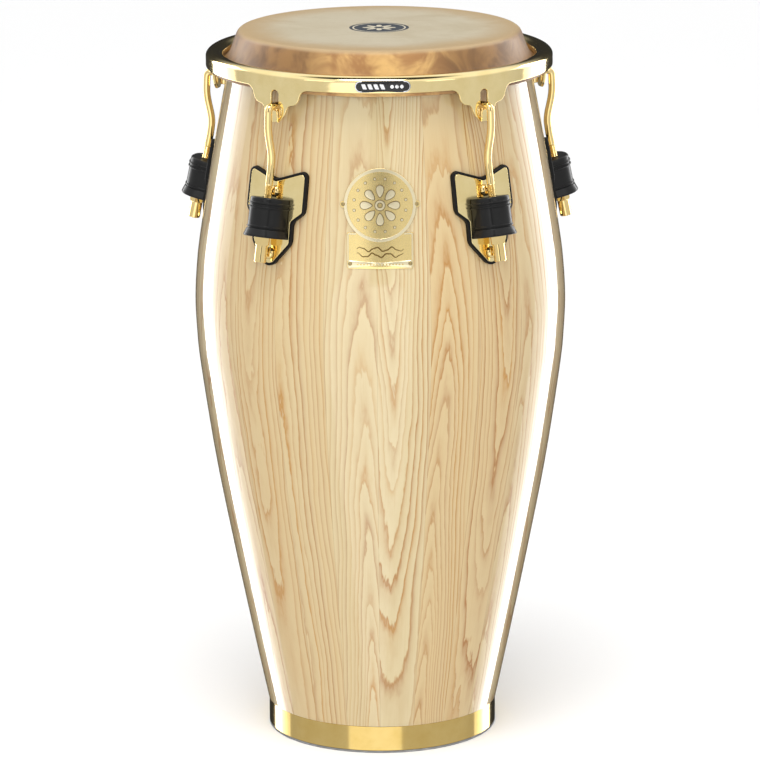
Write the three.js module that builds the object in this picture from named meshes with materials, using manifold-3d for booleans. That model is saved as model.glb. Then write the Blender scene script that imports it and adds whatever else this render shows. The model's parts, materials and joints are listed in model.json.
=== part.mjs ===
// Conga drum: a tall barrel shell of glued staves, a hide head lapped on a flesh hoop, and a steel
// crown that five tuning hooks pull down. Millimetres, +Z up, floor at z = 0, front towards -Y.
// The origin is the middle of the footprint: the rear lug reaches further back than the belly
// reaches forward, so the drum's own axis stands a little in front of the origin.
import * as THREE from "three";
import { mergeVertices } from "three/addons/utils/BufferGeometryUtils.js";
import Module from "manifold-3d";

const wasm = await Module();
wasm.setup();

// ---- driving dimensions ----
const FACETS = 30; // round the drum; each lug stands on a facet edge
const GAP = 0.3; // clearance between pieces that touch
const LUGS = 5;
const LUG_STEP = (2 * Math.PI) / LUGS;

// shell: outer radius at each height, from the foot to the belly to the neck
const SHELL_STATIONS = [
  [30, 123.5],
  [100, 138.4],
  [200, 158.7],
  [300, 177.5],
  [400, 192.3],
  [475, 197.3],
  [540, 191.8],
  [600, 182.1],
  [660, 171.4],
  [720, 160.2],
];
const SHELL_LEVELS = [30, 100, 200, 300, 400, 440, 475, 510, 540, 600, 660, 720]; // facet rings
const SHELL_WALL = 15;
const SHELL_FOOT = 2.5;
const BEARING_RADIUS = 144.5;
// the neck above the last station, over the bearing edge and in to the bore
const NECK = [
  [153.2, 738],
  [149.2, 752],
  [147.2, 757.4],
  [BEARING_RADIUS, 759.4],
  [140.5, 757],
];

// foot: gold band let into the shell, rubber ring under both
const BAND_TOP = 29.4;
const BAND_RADIUS = 122.8;
const BAND_THICKNESS = 1.3;
const FOOT_INNER = 108;

// head: hide drawn over the bearing edge and lapped round the flesh hoop
const HEAD_TOP = 762;
const HIDE = 2.3;
const HOOP = { inner: 167, outer: 176, bottom: 720, top: 728 };

// crown: rolled steel rim with one slotted ear for each hook
const CROWN = { radius: 183, thickness: 3, bottom: 724, shoulder: 734.5, top: 741 };
const CROWN_LIP = { radius: 164.4, bottom: 731.2 }; // inner edge of the roll, pressing on the lap
const EAR_TIP = 688.5;
const EAR_SLOT = { half: 4.7, top: 722.3, seat: 701.1 };
const EAR_WINDOW = { radius: 8.5, z: 701 };
const TONGUE_HALF = 3.6;
const CROWN_BADGE = { half: 28.7, bottom: 725.2, top: 737.4, offset: 3.4, thickness: 0.8 };

// name badge on the front of the shell
const BADGE = { discRadius: 37.3, discZ: 608, half: 34.1, bottom: 543.4, top: 580, thickness: 1.2 };
const BADGE_NAILS = [
  [-37.6, 608.5],
  [37.6, 608.5],
  [-30.8, 548.5],
  [30.8, 548.5],
];
const NAIL_EAR = 3.5;
const NAIL_SHANK = 0.8;
const NAIL_LENGTH = 9;

// lug: side plate on a rubber gasket, bracket tube for the hook, rubber bumper round the tube
const GASKET = { gap: GAP, thickness: 2.4, margin: 2.6 };
const PLATE_THICKNESS = 2.2;
const PLATE_OUTLINE = [
  [0, 626.5],
  [30.5, 636.5],
  [34, 634],
  [34.5, 597.5],
  [22, 587.5],
  [22.5, 565],
  [4.5, 544.2],
  [0, 543],
];
const BOLT_HEIGHTS = [616, 552.6];
const BOLT_SHANK = 3;
const BOLT_HEAD = 6.2;
const BOLT_HEAD_HEIGHT = 4.2;
const BACKING = { half: 15, bottom: 540, top: 628, thickness: 2.5, nut: 6.5, nutHeight: 5 };

// hook rod: its straight end leans out from the drum going down
const ROD_RADIUS = 4;
const ROD_LEAN = THREE.MathUtils.degToRad(12.2);
const ROD_FOOT = { radius: 205.2, z: 572 }; // where the rod leaves the bottom of the bumper
const BUMPER = { half: 19.5, front: 14.5, widest: 8, height: 41, rodHole: 4.7 };
const BUMPER_SWELL = [
  [0, 3],
  [8.5, 0],
  [30, 0],
  [30.3, 1.1],
  [35.5, 1.1],
  [41, -1.5],
];
const TUBE = { radius: 8.6, bore: 4.6, web: 6, bottom: 3, top: 38 };
const WASHER = { radius: 9.8, bore: 4.5, bottom: 1, top: 2.7 };
const NUT = { hexHalf: 7, barrel: 6.3, bore: 4.3, top: 0.7, hexBottom: -8.6, bottom: -26.2 };
const HOOK_END = -22.5; // the rod's threaded end, inside the nut

// ---- solids ----
// A closed geometry as a manifold solid, with only its positions kept.
function solid(geometry) {
  const bare = geometry.clone();
  bare.deleteAttribute("normal");
  bare.deleteAttribute("uv");
  const merged = mergeVertices(bare, 1e-4);
  const vertProperties = merged.attributes.position.array;
  const triVerts = new Uint32Array(merged.index.array);
  return new wasm.Manifold(new wasm.Mesh({ numProp: 3, vertProperties, triVerts }));
}

function geometryOf(made) {
  const { vertProperties, triVerts } = made.getMesh();
  const geometry = new THREE.BufferGeometry();
  geometry.setAttribute("position", new THREE.BufferAttribute(new Float32Array(vertProperties), 3));
  geometry.setIndex(new THREE.BufferAttribute(new Uint32Array(triVerts), 1));
  geometry.computeVertexNormals();
  return geometry;
}

// A profile of [radius, height] points, closed on itself or ending on the axis, turned about +Z.
// Points run anticlockwise, with radius to the right and height up.
function turned(profile, facets = FACETS) {
  const points = profile.map(([r, z]) => new THREE.Vector2(r, z));
  return new THREE.LatheGeometry(points, facets).rotateX(Math.PI / 2);
}

function turnedLoop(profile, facets = FACETS) {
  return turned([...profile, profile[0]], facets);
}

// A cylinder along +Z between two heights.
function post(radius, bottom, top, facets = 10) {
  return turned([[0, bottom], [radius, bottom], [radius, top], [0, top]], facets);
}

// An outline in (sideways, height) pushed out from the front of the drum between two radii.
function prism(shape, from, to, curveSegments = 6) {
  const settings = { depth: to - from, bevelEnabled: false, curveSegments };
  return new THREE.ExtrudeGeometry(shape, settings).rotateX(Math.PI / 2).translate(0, -from, 0);
}

function polygon(points) {
  return new THREE.Shape(points.map(([x, y]) => new THREE.Vector2(x, y)));
}

// Half an outline from top middle to bottom middle, mirrored into a whole one.
function mirrored(half) {
  const left = half.filter(([x]) => x > 0).map(([x, z]) => [-x, z]);
  return polygon([...half, ...left.reverse()]);
}

function disc(x, z, radius) {
  return new THREE.Shape().absarc(x, z, radius, 0, 2 * Math.PI);
}

// ---- the shell's surfaces ----
const stationCurve = new THREE.SplineCurve(SHELL_STATIONS.map(([z, r]) => new THREE.Vector2(z, r)));
const stationPoints = stationCurve.getPoints(400);

function between(points, z) {
  const i = Math.max(1, points.findIndex((p) => p.x >= z));
  const [a, b] = [points[i - 1], points[i]];
  return a.y + ((b.y - a.y) * (z - a.x)) / (b.x - a.x);
}

const outerPoints = SHELL_LEVELS.map((z) => new THREE.Vector2(z, between(stationPoints, z)));
const outerRadius = (z) => between(outerPoints, z);

// A sleeve that follows the shell's facets, between two distances from its outer surface.
function sleeve(bottom, top, from, to) {
  const levels = [bottom, ...SHELL_LEVELS.filter((z) => z > bottom && z < top), top];
  const outside = levels.map((z) => [outerRadius(z) + to, z]);
  const inside = levels.map((z) => [outerRadius(z) + from, z]);
  return solid(turnedLoop([...outside, ...inside.reverse()]));
}

// Everything inside a surface that stands off the shell's outer surface.
function core(bottom, top, off) {
  const levels = [bottom, ...SHELL_LEVELS.filter((z) => z > bottom && z < top), top];
  return solid(turned([[0, bottom], ...levels.map((z) => [outerRadius(z) + off, z]), [0, top]]));
}

// A cylinder square to the shell's surface at the front, between two distances from it.
function peg(z, radius, from, to, facets = 8) {
  const slope = Math.atan((outerRadius(z - 10) - outerRadius(z + 10)) / 20);
  const along = post(radius, from, to, facets).rotateX(Math.PI / 2 - slope);
  return along.translate(0, -outerRadius(z), z);
}

// Places geometry made along the rod (+Z up the rod, -Y away from the drum) on the front lug.
function onRod(geometry) {
  return geometry.rotateX(-ROD_LEAN).translate(0, -ROD_FOOT.radius, ROD_FOOT.z);
}

// ---- materials ----
const gold = { color: 0xe6c474, roughness: 0.18, metalness: 1 };
const finishes = {
  ash: { color: 0xe3cda4, roughness: 0.22, metalness: 0 },
  gold,
  satinGold: { ...gold, roughness: 0.32 },
  rubber: { color: 0x1a1a1b, roughness: 0.55, metalness: 0 },
  hide: { color: 0xd9c49a, roughness: 0.6, metalness: 0 },
  steel: { color: 0xb4b4b4, roughness: 0.35, metalness: 1 },
  chrome: { color: 0xdadcdc, roughness: 0.12, metalness: 1 },
};

function mesh(name, geometry, finish) {
  const made = new THREE.Mesh(geometry, new THREE.MeshStandardMaterial(finishes[finish]));
  made.name = name;
  return made;
}

// ---- lug parts, made once at the front of the drum ----
const GASKET_OUTSIDE = GASKET.gap + GASKET.thickness;
const PLATE_INSIDE = GASKET_OUTSIDE + GAP;
const PLATE_OUTSIDE = PLATE_INSIDE + PLATE_THICKNESS;
const BACKING_OUTSIDE = -SHELL_WALL - GAP;
const BACKING_INSIDE = BACKING_OUTSIDE - BACKING.thickness;
const BOLT_INNER_END = BACKING_INSIDE - BACKING.nutHeight + 1;
const LUG_BOTTOM = 532;
const LUG_TOP = 650;

const boltHoles = BOLT_HEIGHTS.map((z) => solid(peg(z, BOLT_SHANK + GAP, -40, 10)));

// The side plate's outline grown by a margin, for the gasket that shows round it.
function grown(outline, margin) {
  return outline.map(([x, z], i) => {
    const [ax, az] = outline[i - 1] ?? [-outline[1][0], outline[1][1]];
    const [bx, bz] = outline[i + 1] ?? [-outline[i - 1][0], outline[i - 1][1]];
    const before = new THREE.Vector2(z - az, ax - x).normalize();
    const after = new THREE.Vector2(bz - z, x - bx).normalize();
    const corner = before.clone().add(after).multiplyScalar(-margin / (1 + before.dot(after)));
    return [x + corner.x, z + corner.y];
  });
}

function lugGasket() {
  const outline = prism(mirrored(grown(PLATE_OUTLINE, GASKET.margin)), 150, 230);
  const skin = sleeve(LUG_BOTTOM, LUG_TOP, GASKET.gap, GASKET_OUTSIDE);
  return boltHoles.reduce((made, hole) => made.subtract(hole), solid(outline).intersect(skin));
}

// The plate with its bracket tube welded on: a tube along the rod and a web back to the plate.
function sidePlate() {
  const skin = sleeve(LUG_BOTTOM, LUG_TOP, PLATE_INSIDE, PLATE_OUTSIDE);
  const plate = solid(prism(mirrored(PLATE_OUTLINE), 150, 230)).intersect(skin);
  const web = new THREE.BoxGeometry(2 * TUBE.web, 22, TUBE.top - TUBE.bottom);
  web.translate(0, 11, (TUBE.top + TUBE.bottom) / 2);
  const tube = solid(onRod(post(TUBE.radius, TUBE.bottom, TUBE.top, 12)));
  const bore = solid(onRod(post(TUBE.bore, -5, 60)));
  const weld = core(LUG_BOTTOM, LUG_TOP, PLATE_OUTSIDE - 0.5);
  const bracket = solid(onRod(web)).add(tube).subtract(weld);
  return boltHoles.reduce((made, hole) => made.subtract(hole), plate.add(bracket).subtract(bore));
}

// One ring of the bumper's half-round outline, swollen outwards.
function bumperRing(swell, height) {
  const back = 20;
  const arcSteps = 8;
  const across = BUMPER.half + swell;
  const deep = BUMPER.front + BUMPER.widest + swell;
  const ring = [new THREE.Vector3(across, back, height), new THREE.Vector3(-across, back, height)];
  for (let i = 0; i <= arcSteps; i++) {
    const angle = Math.PI * (1 - i / arcSteps);
    const x = Math.sign(Math.cos(angle)) * Math.abs(Math.cos(angle)) ** 0.8 * across;
    ring.push(new THREE.Vector3(x, BUMPER.widest - Math.sin(angle) ** 0.8 * deep, height));
  }
  return ring;
}

// Rings of equal count, anticlockwise seen from above, joined into one closed skin.
function lofted(rings) {
  const count = rings[0].length;
  const index = [];
  for (let level = 0; level + 1 < rings.length; level++) {
    for (let i = 0; i < count; i++) {
      const [a, b] = [level * count + i, level * count + ((i + 1) % count)];
      index.push(a, b, b + count, a, b + count, a + count);
    }
  }
  const last = (rings.length - 1) * count;
  for (let i = 1; i + 1 < count; i++) {
    index.push(0, i + 1, i, last, last + i, last + i + 1);
  }
  return new THREE.BufferGeometry().setFromPoints(rings.flat()).setIndex(index);
}

function lugBumper() {
  const outside = solid(onRod(lofted(BUMPER_SWELL.map(([height, swell]) => bumperRing(swell, height)))));
  const slot = new THREE.BoxGeometry(2 * (TUBE.web + GAP), 30, TUBE.top + GAP + 2);
  slot.translate(0, 15, (TUBE.top + GAP - 2) / 2);
  const hollows = [
    solid(onRod(post(TUBE.radius + GAP, -2, TUBE.top + GAP, 12))),
    solid(onRod(slot)),
    solid(onRod(post(WASHER.radius + 1, -2, TUBE.bottom + GAP, 12))),
    solid(onRod(post(BUMPER.rodHole, 20, 60))),
    core(LUG_BOTTOM, LUG_TOP, PLATE_OUTSIDE + GAP),
    solid(peg(BOLT_HEIGHTS[0], BOLT_HEAD + 0.6, 0, 12)),
  ];
  return hollows.reduce((made, hollow) => made.subtract(hollow), outside);
}

// The hook's centre line at the front, as (radius, height): straight threaded end, a gentle
// S that clears the crown, and a squared hook through the ear's slot.
function hookLine() {
  const along = (s) => [ROD_FOOT.radius - s * Math.sin(ROD_LEAN), ROD_FOOT.z + s * Math.cos(ROD_LEAN)];
  const waist = [
    [189.2, 650],
    [189.7, 658.5],
    [191.5, 667],
    [193.4, 676],
    [194.3, 684.5],
    [194.2, 693],
  ];
  const bend = 5;
  const [outerLeg, innerLeg, crest] = [193.8, 174, 705.5];
  const corner = (r, from) =>
    [0, 1, 2].map((i) => {
      const angle = from + (i * Math.PI) / 4;
      return [r + bend * Math.cos(angle), crest - bend + bend * Math.sin(angle)];
    });
  return [
    ...[HOOK_END, 10, 45, 68].map(along),
    ...waist,
    ...corner(outerLeg - bend, 0),
    ...corner(innerLeg + bend, Math.PI / 2),
    [innerLeg, 693],
  ];
}

// A curve with one extrusion step for each of its points.
class SteppedCurve extends THREE.CatmullRomCurve3 {
  getUtoTmapping(u) {
    return u;
  }
}

function tuningHook() {
  const points = hookLine().map(([r, z]) => new THREE.Vector3(0, -r, z));
  const section = new THREE.CircleGeometry(ROD_RADIUS, 8).attributes.position;
  const shape = polygon([1, 2, 3, 4, 5, 6, 7, 8].map((i) => [section.getX(i), section.getY(i)]));
  const path = new SteppedCurve(points);
  return solid(new THREE.ExtrudeGeometry(shape, { extrudePath: path, steps: points.length - 1 }));
}

function thrustWasher() {
  const { radius, bore, bottom, top } = WASHER;
  return solid(onRod(turnedLoop([[bore, bottom], [radius, bottom], [radius, top], [bore, top]], 12)));
}

// Hex above, round barrel below, bored through for the rod.
function tuningNut() {
  const corner = NUT.hexHalf / Math.cos(Math.PI / 6);
  const chamfer = 1.2;
  const hex = [
    [0, NUT.hexBottom],
    [NUT.hexHalf, NUT.hexBottom],
    [corner, NUT.hexBottom + chamfer],
    [corner, NUT.top],
    [0, NUT.top],
  ];
  const barrel = post(NUT.barrel, NUT.bottom, NUT.hexBottom + 1, 12);
  const bore = post(NUT.bore, NUT.bottom - 1, NUT.top + 1, 12);
  return solid(onRod(turned(hex, 6))).add(solid(onRod(barrel))).subtract(solid(onRod(bore)));
}

// Domed head outside, shank through plate, gasket, shell and backing plate.
function plateBolt(z) {
  const seat = PLATE_OUTSIDE + GAP + 0.2;
  const slope = Math.atan((outerRadius(z - 10) - outerRadius(z + 10)) / 20);
  const profile = [
    [0, BOLT_INNER_END],
    [BOLT_SHANK, BOLT_INNER_END],
    [BOLT_SHANK, seat],
    [BOLT_HEAD, seat],
    [BOLT_HEAD, seat + 0.5 * BOLT_HEAD_HEIGHT],
    [0.6 * BOLT_HEAD, seat + BOLT_HEAD_HEIGHT],
    [0, seat + BOLT_HEAD_HEIGHT],
  ];
  return solid(turned(profile, 8).rotateX(Math.PI / 2 - slope).translate(0, -outerRadius(z), z));
}

// Plate inside the shell with a weld nut behind each bolt hole.
function backingPlate() {
  const { half, bottom, top } = BACKING;
  const outline = polygon([[-half, bottom], [half, bottom], [half, top], [-half, top]]);
  const skin = sleeve(LUG_BOTTOM, LUG_TOP, BACKING_INSIDE, BACKING_OUTSIDE);
  const plate = solid(prism(outline, 130, 190)).intersect(skin);
  const nuts = BOLT_HEIGHTS.map((z) =>
    solid(peg(z, BACKING.nut, BACKING_INSIDE - BACKING.nutHeight, BACKING_INSIDE + 1.2, 6)),
  );
  const joined = nuts.reduce((made, nut) => made.add(nut), plate);
  return boltHoles.reduce((made, hole) => made.subtract(hole), joined);
}

// ---- drum parts ----
function shell() {
  const foot = BAND_RADIUS - BAND_THICKNESS - GAP;
  const bandTop = BAND_TOP + GAP;
  const outside = outerPoints.map((p) => [p.y, p.x]);
  const inside = [100, 200, 300, 400, 475, 540, 600, 660, 720].map((z) => [outerRadius(z) - SHELL_WALL, z]);
  const profile = [
    [FOOT_INNER + 1, SHELL_FOOT],
    [foot, SHELL_FOOT],
    [foot, bandTop],
    [outerRadius(bandTop + 0.5), bandTop],
    ...outside.slice(1),
    ...NECK,
    ...inside.reverse(),
  ];
  const blank = solid(turnedLoop(profile));
  const bolts = Array.from({ length: LUGS }, (_, i) =>
    boltHoles.map((hole) => hole.rotate(0, 0, THREE.MathUtils.radToDeg(lugAngle(i)))),
  ).flat();
  const nails = BADGE_NAILS.map((at) => solid(nailPeg(at, NAIL_SHANK + GAP, -NAIL_LENGTH - 1, 4)));
  return [...bolts, ...nails].reduce((made, hole) => made.subtract(hole), blank);
}

function footRubber() {
  const profile = [
    [FOOT_INNER, 0],
    [BAND_RADIUS, 0],
    [BAND_RADIUS, SHELL_FOOT - GAP],
    [FOOT_INNER, SHELL_FOOT - GAP],
  ];
  return solid(turnedLoop(profile));
}

function baseBand() {
  const inner = BAND_RADIUS - BAND_THICKNESS;
  const profile = [
    [inner, SHELL_FOOT],
    [BAND_RADIUS, SHELL_FOOT],
    [BAND_RADIUS, BAND_TOP],
    [inner, BAND_TOP],
  ];
  return solid(turnedLoop(profile));
}

// Playing face, rounded shoulder, sloping collar, and the lap over the flesh hoop.
function headSkin() {
  const lapTop = HOOP.top + GAP;
  const lapSide = HOOP.outer + GAP;
  const profile = [
    [0, HEAD_TOP - HIDE],
    [BEARING_RADIUS, HEAD_TOP - HIDE],
    [147.6, 758.4],
    [150.6, 752],
    [155.4, 738.3],
    [159.2, 731.5],
    [164, lapTop],
    [lapSide, lapTop],
    [lapSide, HOOP.bottom],
    [lapSide + HIDE, HOOP.bottom],
    [lapSide + HIDE, lapTop + HIDE],
    [164.4, lapTop + HIDE],
    [160.6, 733.6],
    [157.6, 739],
    [152.2, 754.4],
    [150, 759.4],
    [147.2, 761.4],
    [BEARING_RADIUS - 1, HEAD_TOP],
    [0, HEAD_TOP],
  ];
  return solid(turned(profile));
}

function fleshHoop() {
  const { inner, outer, bottom, top } = HOOP;
  return solid(turnedLoop([[inner, bottom], [outer, bottom], [outer, top], [inner, top]]));
}

// The ear's outline, from the rim down through one step to a blunt tip.
function earShape() {
  const half = new THREE.Path().moveTo(38, 726);
  half.lineTo(38, CROWN.bottom);
  half.quadraticCurveTo(31, 723, 29.5, 716.5);
  half.quadraticCurveTo(27.5, 707.5, 19.5, 707);
  half.quadraticCurveTo(15.5, 706.5, 13.8, 701);
  half.quadraticCurveTo(10.8, 693.5, 4, EAR_TIP);
  const points = half.getPoints(3).map((p) => [p.x, p.y]);
  return mirrored(points);
}

// The hook's slot, and the round window at its foot that leaves a tongue for the hook to sit on.
function earOpening() {
  const { half, top, seat } = EAR_SLOT;
  const slot = new THREE.Shape().absarc(0, top - half, half, 0, Math.PI);
  slot.lineTo(-half, seat);
  slot.lineTo(half, seat);
  const window = prism(disc(0, EAR_WINDOW.z, EAR_WINDOW.radius), 160, 200, 6);
  const tongue = prism(
    polygon([
      [-TONGUE_HALF, 680],
      [TONGUE_HALF, 680],
      [TONGUE_HALF, seat],
      [-TONGUE_HALF, seat],
    ]),
    150,
    210,
  );
  return solid(window).subtract(solid(tongue)).add(solid(prism(slot, 160, 200, 3)));
}

function crown() {
  const { radius, thickness, bottom, shoulder, top } = CROWN;
  const lip = CROWN_LIP.radius;
  const middle = (radius + lip) / 2;
  // a rounded roll, as half an ellipse between two walls
  const roll = (half, rise, steps = 4) =>
    Array.from({ length: steps + 1 }, (_, i) => {
      const angle = (Math.PI * i) / steps;
      return [middle + half * Math.cos(angle), shoulder + rise * Math.sin(angle)];
    });
  const rim = [
    [radius - thickness, bottom],
    [radius, bottom],
    ...roll(radius - middle, top - shoulder),
    [lip, CROWN_LIP.bottom],
    [lip + thickness, CROWN_LIP.bottom],
    ...roll(radius - middle - thickness, top - shoulder - thickness).reverse(),
  ];
  const wallRing = [
    [radius - thickness, EAR_TIP - 5],
    [radius, EAR_TIP - 5],
    [radius, 726],
    [radius - thickness, 726],
  ];
  const wall = solid(turnedLoop(wallRing));
  const ear = solid(prism(earShape(), 160, 200)).intersect(wall);
  const opening = earOpening();
  let made = solid(turnedLoop(rim));
  for (let i = 0; i < LUGS; i++) {
    const turn = THREE.MathUtils.radToDeg(lugAngle(i));
    made = made.add(ear.rotate(0, 0, turn)).subtract(opening.rotate(0, 0, turn));
  }
  return made;
}

function crownBadge() {
  const { half, bottom, top, offset, thickness } = CROWN_BADGE;
  const end = (top - bottom) / 2;
  const middle = (top + bottom) / 2;
  const outline = new THREE.Shape();
  outline.absarc(offset + half - end, middle, end, -Math.PI / 2, Math.PI / 2);
  outline.absarc(offset - half + end, middle, end, Math.PI / 2, (3 * Math.PI) / 2);
  const inner = CROWN.radius + GAP;
  const ring = [
    [inner, 720],
    [inner + thickness, 720],
    [inner + thickness, 745],
    [inner, 745],
  ];
  return solid(prism(outline, 150, 210)).intersect(solid(turnedLoop(ring)));
}

function nailPeg([x, z], radius, from, to) {
  return peg(z, radius, from, to, 8).rotateZ(x / outerRadius(z));
}

// Disc above, name plate below and a small ear for each side nail, stamped from one sheet.
function nameBadge() {
  const { discRadius, discZ, half, bottom, top, thickness } = BADGE;
  const plate = polygon([[-half, bottom], [half, bottom], [half, top], [-half, top]]);
  const ears = BADGE_NAILS.slice(0, 2).map(([x, z]) => disc(x, z, NAIL_EAR));
  const shapes = [disc(0, discZ, discRadius), plate, ...ears];
  const sheets = shapes.map((shape) => solid(prism(shape, 150, 230, 12)));
  const sheet = sheets.reduce((made, part) => made.add(part));
  const skin = sleeve(LUG_BOTTOM, LUG_TOP, GAP, GAP + thickness);
  const holes = BADGE_NAILS.map((at) => solid(nailPeg(at, NAIL_SHANK + GAP, -5, 5)));
  return holes.reduce((made, hole) => made.subtract(hole), sheet.intersect(skin));
}

function badgeNail([x, z]) {
  const seat = 2 * GAP + BADGE.thickness;
  const slope = Math.atan((outerRadius(z - 10) - outerRadius(z + 10)) / 20);
  const profile = [
    [0, -NAIL_LENGTH],
    [NAIL_SHANK, -NAIL_LENGTH + 1.5],
    [NAIL_SHANK, seat],
    [2.2, seat],
    [0, seat + 1.2],
  ];
  const nail = turned(profile, 8).rotateX(Math.PI / 2 - slope).translate(0, -outerRadius(z), z);
  return solid(nail.rotateZ(x / outerRadius(z)));
}

// ---- assembly ----
// Lugs 1 and 2 stand left and right of the front, 3 and 4 at the sides, 5 behind.
function lugAngle(i) {
  const side = i % 2 ? 1 : -1;
  const fromFront = LUG_STEP * (Math.floor(i / 2) + 0.5);
  return side * fromFront;
}

const rearReach = ROD_FOOT.radius + BUMPER.front + BUMPER_SWELL[0][1];
const bellyReach = Math.max(...outerPoints.map((p) => p.y));

const drum = new THREE.Group();
drum.position.y = (bellyReach - rearReach) / 2;

const drumParts = [
  ["shell", shell, "ash"],
  ["foot_rubber", footRubber, "rubber"],
  ["base_band", baseBand, "gold"],
  ["head_skin", headSkin, "hide"],
  ["flesh_hoop", fleshHoop, "steel"],
  ["crown", crown, "gold"],
  ["crown_badge", crownBadge, "chrome"],
  ["name_badge", nameBadge, "satinGold"],
];
for (const [name, make, finish] of drumParts) {
  drum.add(mesh(name, geometryOf(make()), finish));
}
BADGE_NAILS.forEach((at, i) => drum.add(mesh(`badge_nail_${i + 1}`, geometryOf(badgeNail(at)), "gold")));

const lugParts = [
  ["lug_gasket", lugGasket(), "rubber"],
  ["side_plate", sidePlate(), "gold"],
  ["lug_bumper", lugBumper(), "rubber"],
  ["tuning_hook", tuningHook(), "gold"],
  ["thrust_washer", thrustWasher(), "steel"],
  ["tuning_nut", tuningNut(), "gold"],
  ["plate_bolt_upper", plateBolt(BOLT_HEIGHTS[0]), "gold"],
  ["plate_bolt_lower", plateBolt(BOLT_HEIGHTS[1]), "gold"],
  ["backing_plate", backingPlate(), "steel"],
].map(([name, made, finish]) => [name, geometryOf(made), finish]);
for (let i = 0; i < LUGS; i++) {
  const lug = new THREE.Group();
  lug.rotation.z = lugAngle(i);
  for (const [name, geometry, finish] of lugParts) {
    lug.add(mesh(`${name}_${i + 1}`, geometry, finish));
  }
  drum.add(lug);
}

const conga = new THREE.Group();
conga.add(drum);

export default conga;
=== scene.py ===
import json
from math import asin, atan, atan2, ceil, cos, degrees, hypot, pi, radians, sin, sqrt, tan

import bmesh
import bpy
import numpy as np
from mathutils import Matrix, Vector
from mathutils.geometry import delaunay_2d_cdt


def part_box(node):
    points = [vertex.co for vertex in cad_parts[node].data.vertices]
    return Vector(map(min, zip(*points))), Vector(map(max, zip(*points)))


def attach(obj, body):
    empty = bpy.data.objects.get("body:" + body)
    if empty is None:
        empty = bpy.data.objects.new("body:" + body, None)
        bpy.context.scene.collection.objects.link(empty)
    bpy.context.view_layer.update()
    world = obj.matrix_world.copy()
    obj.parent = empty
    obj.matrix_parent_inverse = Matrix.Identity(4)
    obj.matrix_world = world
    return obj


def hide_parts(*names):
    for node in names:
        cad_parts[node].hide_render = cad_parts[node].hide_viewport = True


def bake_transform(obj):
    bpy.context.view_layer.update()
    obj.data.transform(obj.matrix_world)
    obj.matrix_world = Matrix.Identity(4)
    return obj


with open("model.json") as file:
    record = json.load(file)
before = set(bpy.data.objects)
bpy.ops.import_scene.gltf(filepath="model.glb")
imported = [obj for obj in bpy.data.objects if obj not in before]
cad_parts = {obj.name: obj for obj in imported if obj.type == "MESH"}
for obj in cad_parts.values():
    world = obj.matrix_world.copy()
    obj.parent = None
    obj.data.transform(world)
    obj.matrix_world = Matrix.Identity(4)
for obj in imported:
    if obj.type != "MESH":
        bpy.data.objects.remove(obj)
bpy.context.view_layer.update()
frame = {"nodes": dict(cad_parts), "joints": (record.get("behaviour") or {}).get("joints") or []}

MM = 0.001
joints = {joint["name"]: joint for joint in frame["joints"]}


def box_mm(node):
    low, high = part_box(node)
    return np.array(low) / MM, np.array(high) / MM


shell_low, shell_high = box_mm("shell")
AXIS_Y = (shell_low[1] + shell_high[1]) / 2


def mm_from_axis(point):
    return Vector((point[0] / MM, point[1] / MM - AXIS_Y, point[2] / MM))


def linked(name, data):
    """A new object in the scene."""
    made = bpy.data.objects.new(name, data)
    bpy.context.scene.collection.objects.link(made)
    return made


# ---- camera ----
CAMERA_ACROSS = -0.0008  # metres, as are the next two
CAMERA_DISTANCE = 4.943  # from the drum's axis
CAMERA_HEIGHT = 1.581
CAMERA_DOWN = radians(13.66)
CAMERA_ROLL = radians(-0.275)
CAMERA_LENS = 224.6


def make_camera():
    data = bpy.data.cameras.new("camera")
    data.lens = CAMERA_LENS
    data.clip_end = 100
    camera = linked("camera", data)
    look = Matrix.Rotation(pi / 2 - CAMERA_DOWN, 4, "X") @ Matrix.Rotation(CAMERA_ROLL, 4, "Z")
    place = Matrix.Translation((CAMERA_ACROSS, AXIS_Y * MM - CAMERA_DISTANCE, CAMERA_HEIGHT))
    camera.matrix_world = place @ look
    bpy.context.scene.camera = camera


make_camera()

# ---- dimensions, mm ----
LUGS = 5
LUG_NAMES = range(1, LUGS + 1)
ROUND = 240  # segments of the turned rings
SHELL_ROUND = 288
BORE_ROUND = 48  # segments of bores, tubes and bolts
CROWN_ROUND = 360

rod_foot = mm_from_axis(joints["nut_spin_5"]["pos_m"])
rod_axis = Vector(joints["nut_spin_5"]["axis"])
ROD_LEAN = atan2(-rod_axis.y, rod_axis.z)
ROD_FOOT = (rod_foot.y, rod_foot.z)  # radius and height of the rod where it leaves the bumper


def lug_angle(k):
    foot = mm_from_axis(joints[f"nut_spin_{k}"]["pos_m"])
    return atan2(foot.x, -foot.y)


CLEAR = 0.3
SHELL_WALL = 15
GASKET_OUTSIDE = 2.7
GASKET_MARGIN = 2.6
PLATE_INSIDE = 3.0
PLATE_OUTSIDE = 5.2
PLATE_OUTLINE = [  # right half, top to bottom
    (0, 626.5), (30.5, 636.5), (34, 634), (34.5, 597.5), (22, 587.5), (22.5, 565), (4.5, 544.2), (0, 543),
]
BOLT_HEIGHTS = (616, 552.6)
CROWN_WALL = 3
HIDE = 2.3


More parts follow.
